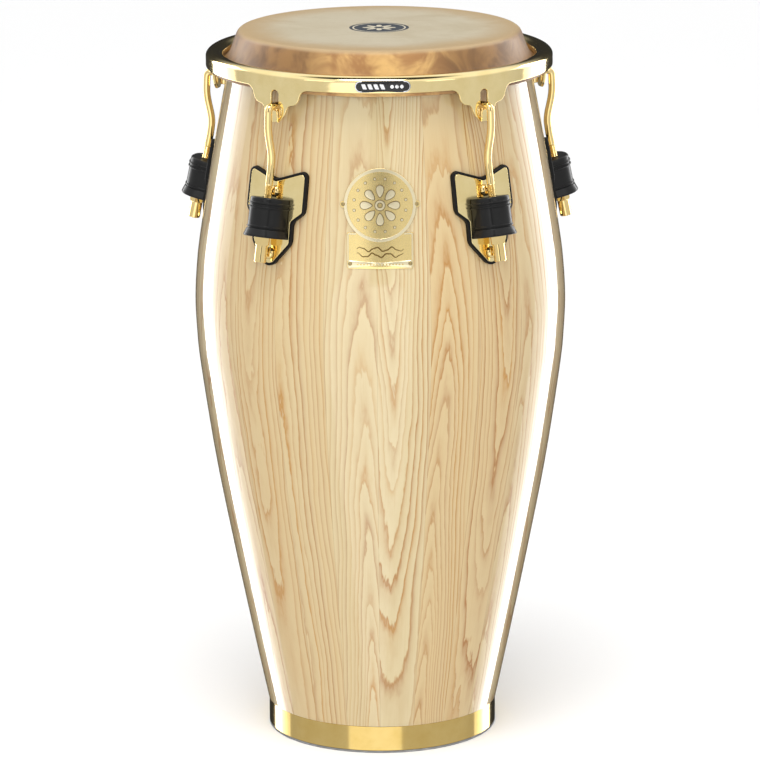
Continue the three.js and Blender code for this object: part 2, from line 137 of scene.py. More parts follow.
# ---- shapes: a list of points and a list of faces ----
class Shape:
    def __init__(self, points=(), faces=(), marks=None):
        self.points = np.array(points, float).reshape(-1, 3)
        self.faces = [tuple(face) for face in faces]
        self.marks = list(marks) if marks is not None else [0] * len(self.faces)

    def joined(self, other):
        shift = len(self.points)
        moved = [tuple(i + shift for i in face) for face in other.faces]
        points = np.vstack([self.points, other.points])
        return Shape(points, self.faces + moved, self.marks + other.marks)

    def moved(self, matrix):
        turned = self.points @ np.array(matrix.to_3x3()).T + np.array(matrix.to_translation())
        return Shape(turned, self.faces, self.marks)

    def marked(self, mark):
        return Shape(self.points, self.faces, [mark] * len(self.faces))


def mesh_of(shape, name="shape"):
    mesh = bpy.data.meshes.new(name)
    mesh.from_pydata([tuple(p) for p in shape.points], [], shape.faces)
    mesh.polygons.foreach_set("material_index", shape.marks)
    tidy = bmesh.new()
    tidy.from_mesh(mesh)
    bmesh.ops.remove_doubles(tidy, verts=tidy.verts, dist=0.004)
    bmesh.ops.dissolve_degenerate(tidy, edges=tidy.edges, dist=0.001)
    bmesh.ops.recalc_face_normals(tidy, faces=tidy.faces)
    tidy.to_mesh(mesh)
    tidy.free()
    return mesh


def shape_of(mesh):
    faces, marks = [tuple(p.vertices) for p in mesh.polygons], [p.material_index for p in mesh.polygons]
    return Shape([v.co.copy() for v in mesh.vertices], faces, marks)


def boolean(shape, tool, operation):
    """Joins or cuts two closed shapes."""
    made = [linked("work", mesh_of(s)) for s in (shape, tool)]
    cut = made[0].modifiers.new("cut", "BOOLEAN")
    cut.operation, cut.solver, cut.object = operation, "EXACT", made[1]
    bpy.context.view_layer.update()
    result = shape_of(made[0].evaluated_get(bpy.context.evaluated_depsgraph_get()).to_mesh())
    for work in made:
        mesh = work.data
        bpy.data.objects.remove(work)
        bpy.data.meshes.remove(mesh)
    return result


def place_piece(name, shape, body, node, materials, turn=0.0, sharp=32):
    """Makes a shape an object of the drum, standing for its CAD node and riding on a body."""
    mesh = mesh_of(shape, name)
    place = Matrix.Translation((0, AXIS_Y * MM, 0)) @ Matrix.Scale(MM, 4) @ Matrix.Rotation(turn, 4, "Z")
    mesh.transform(place)
    mesh.polygons.foreach_set("use_smooth", [True] * len(mesh.polygons))
    mesh.set_sharp_from_angle(angle=radians(sharp))
    for material in materials:
        mesh.materials.append(material)
    piece = linked(name, mesh)
    flats = piece.modifiers.new("flats", "WEIGHTED_NORMAL")  # big faces stay flat beside rounded edges
    flats.keep_sharp = True
    bpy.context.view_layer.update()
    graph = bpy.context.evaluated_depsgraph_get()
    piece.data = bpy.data.meshes.new_from_object(piece.evaluated_get(graph), depsgraph=graph)
    piece.data.name = name
    piece.modifiers.clear()
    if body:
        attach(piece, body)
    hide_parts(node)
    return piece


# ---- lines ----
def rounded(points, radius, steps=4, closed=True):
    """A polyline whose corners are rounded, each starting at most radius before it."""
    points = np.array(points, float)
    count = len(points)
    radii = radius if isinstance(radius, list) else [radius] * count
    made = []
    for i, corner in enumerate(points):
        before, after = points[i - 1] - corner, points[(i + 1) % count] - corner
        lengths = np.linalg.norm(before), np.linalg.norm(after)
        reach = min(radii[i], 0.48 * min(lengths))
        if reach < 0.01 or not closed and i in (0, count - 1):
            made.append(corner)
            continue
        start, end = corner + before / lengths[0] * reach, corner + after / lengths[1] * reach
        made += [start, *bezier(start, corner, end, steps)]
    return np.array(made)


def smooth(points, steps):
    """A Catmull-Rom curve through the points."""
    p = np.array(points, float)
    p = np.vstack([2 * p[0] - p[1], p, 2 * p[-1] - p[-2]])
    made = []
    t = (np.arange(steps) / steps)[:, None]
    for i in range(1, len(p) - 2):
        slope_a, slope_b = (p[i + 1] - p[i - 1]) / 2, (p[i + 2] - p[i]) / 2
        ends = (2 * t**3 - 3 * t**2 + 1) * p[i] + (-2 * t**3 + 3 * t**2) * p[i + 1]
        made += list(ends + (t**3 - 2 * t**2 + t) * slope_a + (t**3 - t**2) * slope_b)
    return np.vstack([made, p[-2]])


def arc(centre, radius, start, end, steps, rise=None):
    """Points on part of a circle, or of an ellipse with its own rise; angles in degrees."""
    angles = np.radians(np.linspace(start, end, steps + 1))
    up = radius if rise is None else rise
    return np.stack([centre[0] + radius * np.cos(angles), centre[1] + up * np.sin(angles)], 1)


def bezier(start, control, end, steps):
    t = np.linspace(0, 1, steps + 1)[:, None]
    a, b, c = (np.array(p, float) for p in (start, control, end))
    return ((1 - t) ** 2 * a + 2 * t * (1 - t) * b + t * t * c)[1:]


def both_sides(right):
    """A line on the right from the middle, continued by its mirror image back to the middle."""
    return [*right, *((-x, z) for x, z in right[::-1][1:])]


def inset(loop, distance, closed=True):
    """A loop moved to its left, which is inward when it runs anticlockwise."""
    points = np.array(loop, float)
    before = points - np.roll(points, 1, 0)
    after = np.roll(points, -1, 0) - points
    if not closed:
        before[0], after[-1] = after[0], before[-1]
    left = [np.stack([-v[:, 1], v[:, 0]], 1) / np.linalg.norm(v, axis=1)[:, None] for v in (before, after)]
    turn = np.clip(1 + (left[0] * left[1]).sum(1), 0.6, 2)
    return points + (left[0] + left[1]) * (distance / turn)[:, None]


# ---- surfaces ----
def lathe(profile, segments=ROUND, closed=True):
    """A profile of (radius, height) turned about the axis."""
    angles = np.arange(segments) * 2 * pi / segments
    rings = [[(r * sin(a), -r * cos(a), z) for r, z in profile] for a in angles]
    count, total = len(profile), len(profile) * segments
    faces = []
    for a in range(0, total, count):
        b = (a + count) % total
        for i in range(count if closed else count - 1):
            n = (i + 1) % count
            faces.append((a + i, b + i, b + n, a + n))
    return Shape(np.vstack(rings), faces)


def turned_ring(inner, outer, low, high, edge, segments=ROUND):
    """A turned ring of rectangular section with rounded corners."""
    return lathe(rounded([(inner, low), (outer, low), (outer, high), (inner, high)], edge), segments)


def loft(rings, caps=True, closed=True):
    """Rings of equal count joined one to the next."""
    count = len(rings[0])
    last = (len(rings) - 1) * count
    faces = [
        (a + i, a + (i + 1) % count, a + count + (i + 1) % count, a + count + i)
        for a in range(0, last, count)
        for i in range(count if closed else count - 1)
    ]
    if caps:
        faces += [tuple(range(count))[::-1], tuple(range(last, last + count))]
    return Shape(np.vstack(rings), faces)


def sides_of(loops):
    for loop in loops:
        yield from zip(np.array(loop), np.roll(loop, -1, 0))


def inside(points, loops):
    """Which points lie inside the loops, counting crossings."""
    x, z = points.T
    odd = np.zeros(len(points), bool)
    for (ax, az), (bx, bz) in sides_of(loops):
        if az != bz:
            crosses = (az > z) != (bz > z)
            odd ^= crosses & (x < ax + (z - az) * (bx - ax) / (bz - az))
    return odd


def distance_to(points, loops):
    nearest = np.full(len(points), 1e9)
    for start, end in sides_of(loops):
        along = end - start
        t = np.clip((points - start) @ along / max(along @ along, 1e-12), 0, 1)
        nearest = np.minimum(nearest, np.linalg.norm(points - start - t[:, None] * along, axis=1))
    return nearest


def filled(loops, spacing):
    """Triangles that fill the loops, with a grid of points between: (points, faces), loop points first."""
    edge_points = np.vstack(loops)
    low, high = edge_points.min(0), edge_points.max(0)
    columns = np.arange(ceil(low[0] / spacing), high[0] / spacing) * spacing
    rows = np.arange(ceil(low[1] / spacing), high[1] / spacing) * spacing
    grid = np.array([(x, z) for x in columns for z in rows])
    keep = inside(grid, loops)
    keep[keep] &= distance_to(grid[keep], loops) > 0.4 * spacing
    points = np.vstack([edge_points, grid[keep]])
    edges, first = [], 0
    for loop in loops:
        edges += [(first + i, first + (i + 1) % len(loop)) for i in range(len(loop))]
        first += len(loop)
    _, _, faces, sources, _, _ = delaunay_2d_cdt([Vector(p) for p in points], edges, [], 0, 1e-5)
    faces = [tuple(sources[i][0] for i in face) for face in faces]
    centres = np.array([points[list(face)].mean(0) for face in faces])
    return points, [face for face, held in zip(faces, inside(centres, loops)) if held]


def edge_rings(thick, back, edge):
    """(inset, depth) pairs round a plate's rounded edge, from its back face to its front face."""
    turns = np.radians((0, 30, 60, 90))
    rise = [(edge * (1 - sin(t)), edge * (1 - cos(t))) for t in turns]
    return [(i, back + d) for i, d in rise] + [(i, back + thick - d) for i, d in reversed(rise)]


def levels(loop, rings, closed=True):
    """A loop at each (inset, depth) pair, as (sideways, depth, height)."""
    return [[(x, depth, z) for x, z in inset(loop, away, closed)] for away, depth in rings]


def flats(loops, spacing, depths):
    flat, faces = filled(loops, spacing)
    return [Shape([(x, depth, z) for x, z in flat], faces) for depth in depths]


def together(shapes):
    whole = Shape()
    for shape in shapes:
        whole = whole.joined(shape)
    return whole


def plate(outer, holes=(), thick=1.0, back=0.0, edge=0.4, spacing=4.0):
    """A flat plate with rounded edges. Holes run clockwise."""
    loops = [np.array(loop, float) for loop in (outer, *holes)]
    rings = edge_rings(thick, back, edge)
    edges = [loft(levels(loop, rings), caps=False) for loop in loops]
    return together(edges + flats([inset(loop, edge) for loop in loops], spacing, (back + thick, back)))


def raised_ring(outer, inner, thick, back, edge=0.3):
    """A closed band between two anticlockwise loops of equal count, with rounded edges."""
    rings = edge_rings(thick, back, edge)
    loops = levels(outer, rings) + levels(inner, [(-away, depth) for away, depth in reversed(rings)])
    return loft(loops + loops[:1], caps=False)


def wrapped(shape, radius_at):
    """Bends a flat shape on to the drum, so that its depth is measured from radius_at(height)."""
    x, depth, z = shape.points.T
    radius = radius_at(z) + depth
    return Shape(np.stack([x, -np.sqrt(radius**2 - x**2), z], 1), shape.faces, shape.marks)


def rolled(shape, radius):
    """Bends a flat shape round a cylinder, keeping its length."""
    x, depth, z = shape.points.T
    angle, reach = x / radius, radius + depth
    return Shape(np.stack([reach * np.sin(angle), -reach * np.cos(angle), z], 1), shape.faces, shape.marks)


ON_ROD = Matrix.Translation((0, -ROD_FOOT[0], ROD_FOOT[1])) @ Matrix.Rotation(-ROD_LEAN, 4, "X")


def square_to_shell(height, sideways=0.0):
    """Places a shape made along +Z so that +Z points out of the shell at that height."""
    slope = atan((radius_at(height - 10) - radius_at(height + 10)) / 20)
    radius = float(radius_at(height))
    out = Matrix.Translation((0, -radius, height)) @ Matrix.Rotation(pi / 2 - slope, 4, "X")
    return Matrix.Rotation(sideways / radius, 4, "Z") @ out


# ---- the shell's profile, from the CAD shell ----
FACETS = 30


def rings_of(node):
    """(height, inner radius, outer radius) wherever a turned CAD node has a full ring of corners."""
    found = {}
    for vertex in frame["nodes"][node].data.vertices:
        point = mm_from_axis(vertex.co)
        turn = atan2(point.x, -point.y) * FACETS / (2 * pi)
        if abs(turn - round(turn)) < 0.02:
            ring = found.setdefault(round(point.z, 1), {})
            ring.setdefault(round(turn) % FACETS, []).append(hypot(point.x, point.y))
    rings = [(z, sum(ring.values(), [])) for z, ring in sorted(found.items()) if len(ring) == FACETS]
    return [(z, min(radii), max(radii)) for z, radii in rings]


shell_rings = rings_of("shell")
BAND_TOP = box_mm("base_band")[1][2]
NECK = 722  # where the shell turns in towards its bearing edge
outer_line = [(z, out) for z, _, out in shell_rings if BAND_TOP < z < NECK]
outer_curve = smooth(outer_line, 12)


def radius_at(height):
    return np.interp(height, outer_curve[:, 0], outer_curve[:, 1])


def make_shell():
    top = [(out, z) for z, _, out in shell_rings if z >= NECK and out > 142]
    bore = [(inner, z) for z, inner, out in shell_rings if z > 2.6 and out - inner > 5]
    foot, foot_in, foot_out = shell_rings[0]
    outside = [(r, z) for z, r in outer_curve]
    neck = smooth([outside[-1], *top], 4)[1:]
    inner = smooth([(foot_in, foot), *bore], 5)
    shoulder = BAND_TOP + CLEAR
    tenon = [(foot_out, foot), (foot_out, shoulder), (outside[0][0] - 0.5, shoulder)]
    shape = lathe([*tenon, *outside, *neck, *inner[::-1]], SHELL_ROUND)
    middle = np.array([shape.points[list(f)].mean(0) for f in shape.faces])
    raw = np.hypot(middle[:, 0], middle[:, 1]) < radius_at(middle[:, 2]) - SHELL_WALL / 2
    shape.marks = [int(r) for r in raw]
    return shape


# ---- foot, head and hoop ----
def make_ring(node, edge, segments=ROUND):
    """A turned ring between the two rings of corners of its CAD node."""
    (low, inner, outer), (high, _, _) = rings_of(node)
    return turned_ring(inner, outer, low, high, edge, segments)


(HOOP_LOW, _, HOOP_OUT), (HOOP_HIGH, _, _) = rings_of("flesh_hoop")
HEAD_TOP = box_mm("head_skin")[1][2]


def make_head():
    """The hide: playing face, soft shoulder, flaring collar and the lap over the flesh hoop."""
    lap_in, lap_side = HOOP_HIGH + CLEAR, HOOP_OUT + CLEAR
    face = [(r, HEAD_TOP) for r in (0, 15, 30, 45, 60, 75, 90, 105, 120, 132, 140)]
    shoulder = [(143.4, HEAD_TOP - 0.1), (146.6, 761.2), (149.2, 759.2), (150.8, 756.2)]
    collar = [(152.2, 752.6), (153.8, 748), (155.6, 743), (157.7, 738.4), (160.4, 734.2)]
    outside = smooth([*face, *shoulder, *collar, (164.4, lap_in + HIDE)], 3)
    lap_out, lap_top = lap_side + HIDE, lap_in + HIDE
    lap = [(165, lap_top), (lap_out, lap_top), (lap_out, HOOP_LOW), (lap_side, HOOP_LOW)]
    lap = rounded([*lap, (lap_side, lap_in), (164, lap_in)], [0, 2, 0.8, 0.8, 1.2, 0], closed=False)
    ceiling = HEAD_TOP - HIDE
    under = [(159.2, 731.5), (155.4, 738.3), (150.6, 752), (147.6, 758.4), (144.5, ceiling), (138, ceiling)]
    inside_line = smooth([(164, lap_in), *under], 4)[1:]
    return lathe([*outside, *lap[1:], *inside_line, (0, ceiling)], SHELL_ROUND)


# ---- crown ----
crown_low, crown_high = box_mm("crown")
CROWN_RADIUS = AXIS_Y - crown_low[1]
EAR_TIP, CROWN_TOP = crown_low[2], crown_high[2]
CROWN_BOTTOM, CROWN_SHOULDER = 724, 734.5
CROWN_LIP, LIP_BOTTOM = 164.4, 731.2
SECTOR = CROWN_RADIUS * pi / LUGS  # half of one lug's share of the rim, along the arc
EAR_HALF = 38
CROWN_EDGE = 0.8  # how far the crown's edges are rounded


def ear_line():
    """Right half of the ear's edge, from the rim down to the middle of its tip."""
    line = [(EAR_HALF, CROWN_BOTTOM)]
    for control, end, steps in (
        ((31, 723), (29.5, 716.5), 8),
        ((27.5, 707.5), (19.5, 707), 8),
        ((15.5, 706.5), (13.8, 701), 8),
        ((10.8, 693.5), (4, EAR_TIP), 10),
    ):
        line += list(bezier(line[-1], control, end, steps))
    return [(CROWN_RADIUS * asin(x / CROWN_RADIUS), z) for x, z in line] + [(0, EAR_TIP)]


def keyhole():
    """The hook's slot and window, with the tongue between them, clockwise."""
    half, slot_top, seat, window, window_z, tongue = 4.7, 722.3, 701.1, 8.5, 701, 3.6
    slot_end = degrees(atan2(sqrt(window**2 - half**2), half))
    foot = degrees(atan2(sqrt(window**2 - tongue**2), tongue))
    centre = (0, window_z)
    right = [
        *arc(centre, window, -foot, slot_end, 12),
        (half, 713),
        *arc((0, slot_top - half), half, 0, 90, 8),
    ]
    loop = both_sides(right)
    tongue_line = rounded([loop[-1], (-tongue, seat), (tongue, seat), loop[0]], 2.4, 4, closed=False)
    return np.array([*loop, *tongue_line[1:-1]])[::-1]


def crown_sector():
    """One lug's share of the crown's wall, open where it meets the roll and its neighbours."""
    ear = ear_line()
    rim = [(x, CROWN_BOTTOM) for x in np.linspace(SECTOR, ear[0][0], 26)[:-1]]
    right = rim + ear
    bottom = np.array([(-x, z) for x, z in right[:-1]] + right[::-1])
    hole = keyhole()
    rings = edge_rings(CROWN_WALL, -CROWN_WALL, CROWN_EDGE)
    edges = [loft(levels(bottom, rings, False), False, False), loft(levels(hole, rings), False)]
    lower = inset(bottom, CROWN_EDGE, closed=False)
    side = np.linspace(lower[0][1], CROWN_SHOULDER, 4)[1:-1]
    top = [(x, CROWN_SHOULDER) for x in np.linspace(SECTOR, -SECTOR, 73)]
    outline = [*lower, *((SECTOR, z) for z in side), *top, *((-SECTOR, z) for z in side[::-1])]
    faces = flats([np.array(outline), inset(hole, CROWN_EDGE)], 3.6, (0, -CROWN_WALL))
    return rolled(together(edges + faces), CROWN_RADIUS)


def make_crown():
    middle, half = (CROWN_RADIUS + CROWN_LIP) / 2, (CROWN_RADIUS - CROWN_LIP) / 2
    rise = CROWN_TOP - CROWN_SHOULDER
    centre = (middle, CROWN_SHOULDER)
    inner, top = CROWN_LIP + CROWN_WALL, CROWN_SHOULDER
    lip = [(CROWN_LIP, top), (CROWN_LIP, LIP_BOTTOM), (inner, LIP_BOTTOM), (inner, top)]
    over = arc(centre, half, 0, 180, 24, rise)
    under = arc(centre, half - CROWN_WALL, 180, 0, 18, rise - CROWN_WALL)
    profile = [*over, *rounded(lip, 0.9, closed=False)[1:], *under[1:]]
    sector = crown_sector()
    ears = [sector.moved(Matrix.Rotation(lug_angle(k), 4, "Z")) for k in LUG_NAMES]
    return together([lathe(profile, CROWN_ROUND, closed=False), *ears])


def stadium(half, low, high, centre=0.0, steps=12):
    end, middle = (high - low) / 2, (high + low) / 2
    right = arc((centre + half - end, middle), end, -90, 90, steps)
    left = arc((centre - half + end, middle), end, 90, 270, steps)
    return np.vstack([right, left])


def circle(x, z, radius, steps=32):
    return arc((x, z), radius, 0, 360 - 360 / steps, steps - 1)


def make_crown_badge():
    """Black plate with a chrome rim and a plain row of bars and dots."""
    low, high = box_mm("crown_badge")
    low_z, high_z, half, offset = low[2], high[2], 28.7, 3.4
    middle = (low_z + high_z) / 2
    sheet, raised, edge = 0.62, 0.14, 0.04
    rim = [stadium(half - away, low_z + away, high_z - away, offset) for away in (0.3, 1.3)]
    marks = [raised_ring(*rim, raised, sheet, edge)]
    for i in range(4):
        x = offset - 19 + 6.2 * i
        bar = [(x - 1, middle - 2.6), (x + 3, middle - 2.6), (x + 1, middle + 2.6), (x - 3, middle + 2.6)]
        marks.append(plate(rounded(bar, 0.6), (), raised, sheet, edge, 2))
    for i in range(3):
        marks.append(plate(circle(offset + 9.5 + 5 * i, middle, 1.9, 20), (), raised, sheet, edge, 2))
    back = plate(stadium(half, low_z, high_z, offset), thick=sheet, edge=0.25, spacing=2.5)
    return rolled(together([back, *(mark.marked(1) for mark in marks)]), CROWN_RADIUS + CLEAR)


# ---- name badge and its nails ----
BADGE_RADIUS, BADGE_Z = 37.3, 608
BADGE_HALF, BADGE_LOW, BADGE_HIGH = 34.1, 543.4, 580
BADGE_SHEET = 0.9
BADGE_NAILS = [(-37.6, 608.5), (37.6, 608.5), (-30.8, 548.5), (30.8, 548.5)]
NAIL_EAR = 3.5


def badge_outline():
    disc_x = sqrt(BADGE_RADIUS**2 - (BADGE_Z - BADGE_HIGH) ** 2)
    start = degrees(atan2(BADGE_HIGH - BADGE_Z, disc_x))
    ear_x, ear_z = BADGE_NAILS[1]
    lean = degrees(atan2(ear_z - BADGE_Z, ear_x))
    meet = 2 * degrees(asin(NAIL_EAR / 2 / BADGE_RADIUS))
    corners = [(0, BADGE_LOW), (BADGE_HALF, BADGE_LOW), (BADGE_HALF, BADGE_HIGH), (disc_x, BADGE_HIGH)]
    centre = (0, BADGE_Z)
    right = [
        *rounded(corners, [0, 3, 1.2, 0], closed=False)[1:-1],
        *arc(centre, BADGE_RADIUS, start, lean - meet, 18),
        *arc((ear_x, ear_z), NAIL_EAR, -84, 86, 10),
        *arc(centre, BADGE_RADIUS, lean + meet, 90, 32),
    ]
    return np.array([(0, BADGE_LOW), *both_sides(right)])


def ribbon(line, width, front, back):
    """A raised stroke along a line, tapering to both ends."""
    line = np.array(line, float)
    taper = width / 2 * np.sqrt(np.sin(np.linspace(0.12, pi - 0.12, len(line))))
    slope = np.gradient(line, axis=0)
    side = np.stack([-slope[:, 1], slope[:, 0]], 1) / np.linalg.norm(slope, axis=1)[:, None]
    left, right = line + side * taper[:, None], line - side * taper[:, None]
    top = back + front
    pairs = zip(left, right)
    return loft([[(a, back, b), (c, back, d), (c, top, d), (a, top, b)] for (a, b), (c, d) in pairs])


def strip_along(line, width, front, back):
    """A raised strip of even width along an open line, with softened top edges."""
    section = ((0.5, 0), (0.5, 0.6), (0.38, 1), (-0.38, 1), (-0.5, 0.6), (-0.5, 0))
    rings = levels(line, [(away * width, back + depth * front) for away, depth in section], closed=False)
    return loft([[ring[i] for ring in rings] for i in range(len(line))])


def relief(shape):
    """A raised shape with its flanks marked 2, for the darker gold of painted shade round the relief, and
    its top 1.
    """
    depth = shape.points[:, 1]
    marks = [2 if np.ptp(depth[list(face)]) > 0.02 else 1 for face in shape.faces]
    return Shape(shape.points, shape.faces, marks)


def make_name_badge():
    """Stamped sheet: a rimmed disc over a bordered plate, with a rosette and plain scrollwork."""
    nail_holes = [circle(x, z, 1.1, 16)[::-1] for x, z in BADGE_NAILS]
    parts = [plate(badge_outline(), nail_holes, BADGE_SHEET, 0, 0.3, 3.5)]
    rim = [circle(0, BADGE_Z, BADGE_RADIUS - away, 120) for away in (0.2, 3.5)]
    parts.append(raised_ring(*rim, 0.75, BADGE_SHEET).marked(1))
    # border of the lower plate, ending under the disc's rim
    top, right = BADGE_HIGH - 1.1, BADGE_HALF - 1.1
    border = rounded([(24.5, top), (right, top), (right, 551.5)], 1.5, closed=False)
    for side in (-1, 1):
        parts.append(strip_along([(side * x, z) for x, z in border], 1.4, 0.45, BADGE_SHEET).marked(1))
    # lower raised strip, with a row of lozenges between the nails
    strip_low, strip_high, strip_rise = BADGE_LOW + 0.6, 552, 0.35
    low = [(-33.3, strip_low), (33.3, strip_low), (33.3, strip_high), (-33.3, strip_high)]
    nails = [circle(x, z, 1.7, 20)[::-1] for x, z in BADGE_NAILS[2:]]
    parts.append(plate(rounded(low, 2.2), nails, strip_rise, BADGE_SHEET, 0.15, 2.5).marked(1))
    for i in range(-7, 8):
        x, z = 3.3 * i, (strip_low + strip_high) / 2
        lozenge = [(x + 1.2, z), (x, z + 1.1), (x - 1.2, z), (x, z - 1.1)]
        parts.append(plate(rounded(lozenge, 0.3), (), 0.25, BADGE_SHEET + strip_rise, 0.1, 2))
    # rosette of eight petals round a ring, in a circle of pearls, with painted shade on their flanks
    hub = [circle(0, BADGE_Z, radius, 40) for radius in (5.6, 2.2)]
    parts.append(relief(raised_ring(*hub, 0.6, BADGE_SHEET, 0.6)))
    petal = [
        (14.2 + 6.6 * cos(a), 4.1 * sin(a) * (1 + 0.35 * cos(a)))
        for a in np.linspace(0, 2 * pi, 28, endpoint=False)
    ]
    for turn in np.arange(8) * pi / 4:
        c, s = cos(turn), sin(turn)
        spun = [(x * c - z * s, BADGE_Z + x * s + z * c) for x, z in petal]
        parts.append(relief(plate(spun, (), 0.65, BADGE_SHEET, 0.65, 2)))
    for turn in (np.arange(16) + 0.5) * pi / 8:
        pearl = circle(27 * cos(turn), BADGE_Z + 27 * sin(turn), 1.6, 14)
        parts.append(relief(plate(pearl, (), 0.45, BADGE_SHEET, 0.4, 2)))
    # scrollwork, drawn all in the darker gold of painted shade
    t = np.linspace(0, 1, 150)
    for row, phase in ((563.5, 0.0), (557.5, 1.4)):
        z = row + 1.9 * np.sin(6 * pi * t + phase) + 0.5 * np.sin(14 * pi * t)
        parts.append(ribbon(np.stack([48 * t - 24, z], 1), 1.3, 0.3, BADGE_SHEET).marked(2))
    return wrapped(together(parts), off_shell(CLEAR))


def make_nail(at):
    x, z = at
    seat = 2 * CLEAR + BADGE_SHEET + 0.2
    profile = [(0, -9), (0.8, -7.5), (0.8, seat), (2.0, seat), (2.1, seat + 0.25)]
    profile += list(arc((0, seat + 0.25), 2.1, 8, 90, 8, 0.75))
    return lathe(profile, 32).moved(square_to_shell(z, x))


# ---- lug parts, made at the front ----
def off_shell(offset):
    return lambda height: radius_at(height) + offset


def bolt_holes(radius=3.3):
    return [circle(0, height, radius, 24)[::-1] for height in BOLT_HEIGHTS]


def lug_outline(margin=0.0):
    outline = both_sides(PLATE_OUTLINE)[-2::-1]
    return rounded(inset(outline, -margin), 2.4 + margin, 5)


def make_gasket():
    flat = plate(lug_outline(GASKET_MARGIN), bolt_holes(), GASKET_OUTSIDE - CLEAR, 0, 0.7, 4)
    lip = raised_ring(lug_outline(GASKET_MARGIN), lug_outline(0.35), PLATE_OUTSIDE - CLEAR, 0, 0.6)
    return wrapped(flat.joined(lip), off_shell(CLEAR))


def make_side_plate():
    """The plate, and the bracket tube that holds the hook with its web back to the plate."""
    flat = plate(lug_outline(), bolt_holes(), PLATE_OUTSIDE - PLATE_INSIDE, 0, 0.5, 4)
    low, high, radius, half = 3, 38, 8.6, 6
    tube = turned_ring(4.6, radius, low, high, 0.5, BORE_ROUND)
    rings = []
    for height in np.linspace(low, high, 12):
        back = [(x, plate_reach(x, height, PLATE_OUTSIDE - 0.5), height) for x in (half, 0, -half)]
        rings.append([(-half, 5.8, height), (half, 5.8, height), *back])
    return wrapped(flat, off_shell(PLATE_INSIDE)).joined(tube.joined(loft(rings)).moved(ON_ROD))


def plate_reach(x, height, offset):
    """How far towards the drum (+Y along the rod's frame) a surface off the shell lies."""
    near, far = 0.0, 60.0
    for _ in range(30):
        middle = (near + far) / 2
        point = ON_ROD @ Vector((x, middle, height))
        outside = hypot(point.x, point.y) > radius_at(point.z) + offset
        near, far = (middle, far) if outside else (near, middle)
    return middle


BUMPER_HALF, BUMPER_FRONT, BUMPER_WIDEST = 19.5, 14.5, 8
BUMPER_PROFILE = [
    (0, 1.6), (0, 2.2), (0.6, 3), (1.9, 3), (8.3, 0.8), (8.8, -0.3), (9.8, -0.3), (10, 0.9),
    (11.4, 0.9), (11.6, 0), (29.6, 0), (30.1, 1.2), (31.5, 1.2), (31.9, 0), (33.7, 0), (34.2, 1.2),
    (35.5, 1.2), (35.9, 0.1), (39.4, 0), (40.6, -0.5), (41, -1.5), (41, -2.4),
]  # (height, swell)


def bumper_ring(height, swell):
    across, deep = BUMPER_HALF + swell, BUMPER_FRONT + BUMPER_WIDEST + swell
    turn = np.linspace(0, pi, 57)
    x = np.sign(np.cos(turn)) * np.abs(np.cos(turn)) ** 0.8 * across
    y = BUMPER_WIDEST - np.sin(turn) ** 0.8 * deep
    offset = PLATE_OUTSIDE + CLEAR
    corner = across - 0.7
    right, left = (plate_reach(s * corner, height, offset) - 0.8 - BUMPER_WIDEST for s in (1, -1))
    ring = [(across, BUMPER_WIDEST + right * t, height) for t in (1, 0.66, 0.33)]
    ring += [(a, b, height) for a, b in zip(x, y)]
    ring += [(-across, BUMPER_WIDEST + left * t, height) for t in (0.33, 0.66, 1)]
    ring += [(a, plate_reach(a, height, offset), height) for a in np.linspace(-corner, corner, 13)]
    return ring


def make_bumper():
    """Moulded rubber round the bracket tube, open below for the washer and nut."""
    line = rounded(BUMPER_PROFILE, 0.35, 3, closed=False)
    shape = loft([bumper_ring(height, swell) for height, swell in line]).moved(ON_ROD)
    hollow = [(0, -3), (10.8, -3), (10.8, 3.3), (8.9, 3.3), (8.9, 38.3), (4.9, 38.3), (4.9, 60), (0, 60)]
    shape = boolean(shape, lathe(hollow, BORE_ROUND).moved(ON_ROD), "DIFFERENCE")
    slot = [[(-6.3, 0, z), (6.3, 0, z), (6.3, 40, z), (-6.3, 40, z)] for z in (-2, 38.3)]
    shape = boolean(shape, loft(slot).moved(ON_ROD), "DIFFERENCE")
    notch = lathe([(0, 0), (6.9, 0), (6.9, 14), (0, 14)], BORE_ROUND)
    return boolean(shape, notch.moved(square_to_shell(BOLT_HEIGHTS[0])), "DIFFERENCE")


ROD_RADIUS = 4.0
THREAD_PITCH, THREAD_DEPTH, THREAD_STEPS = 1.25, 0.55, 8
THREAD_ENDS = (34.0, 55.0)
HOOK_END = -22.5


def hook_line():
    """The hook's centre line in (radius, height), and where along it the thread lies."""
    lean = np.array([-sin(ROD_LEAN), cos(ROD_LEAN)])
    foot = np.array(ROD_FOOT)
    straight = [foot + s * lean for s in np.arange(HOOK_END, THREAD_ENDS[0], 5)]
    threaded = [foot + s * lean for s in np.arange(*THREAD_ENDS, THREAD_PITCH / THREAD_STEPS)]
    waist = [
        *(foot + s * lean for s in (56, 62, 68)),
        (189.2, 650), (189.7, 658.5), (191.5, 667), (193.4, 676),
        (194.3, 684.5), (194.2, 693), (193.9, 699.8),
    ]
    bend, outer_leg, inner_leg, crest = 5, 193.8, 174, 705.5
    over = [
        *arc((outer_leg - bend, crest - bend), bend, 0, 90, 8),
        *[(x, crest) for x in (186.5, 183.9, 181.3)],
        *arc((inner_leg + bend, crest - bend), bend, 90, 180, 8),
        *[(inner_leg, z) for z in (698, 695.5, 693.8, 693)],
    ]
    return np.vstack([straight, threaded, smooth(waist, 5)[:-1], over]), len(straight), len(threaded)


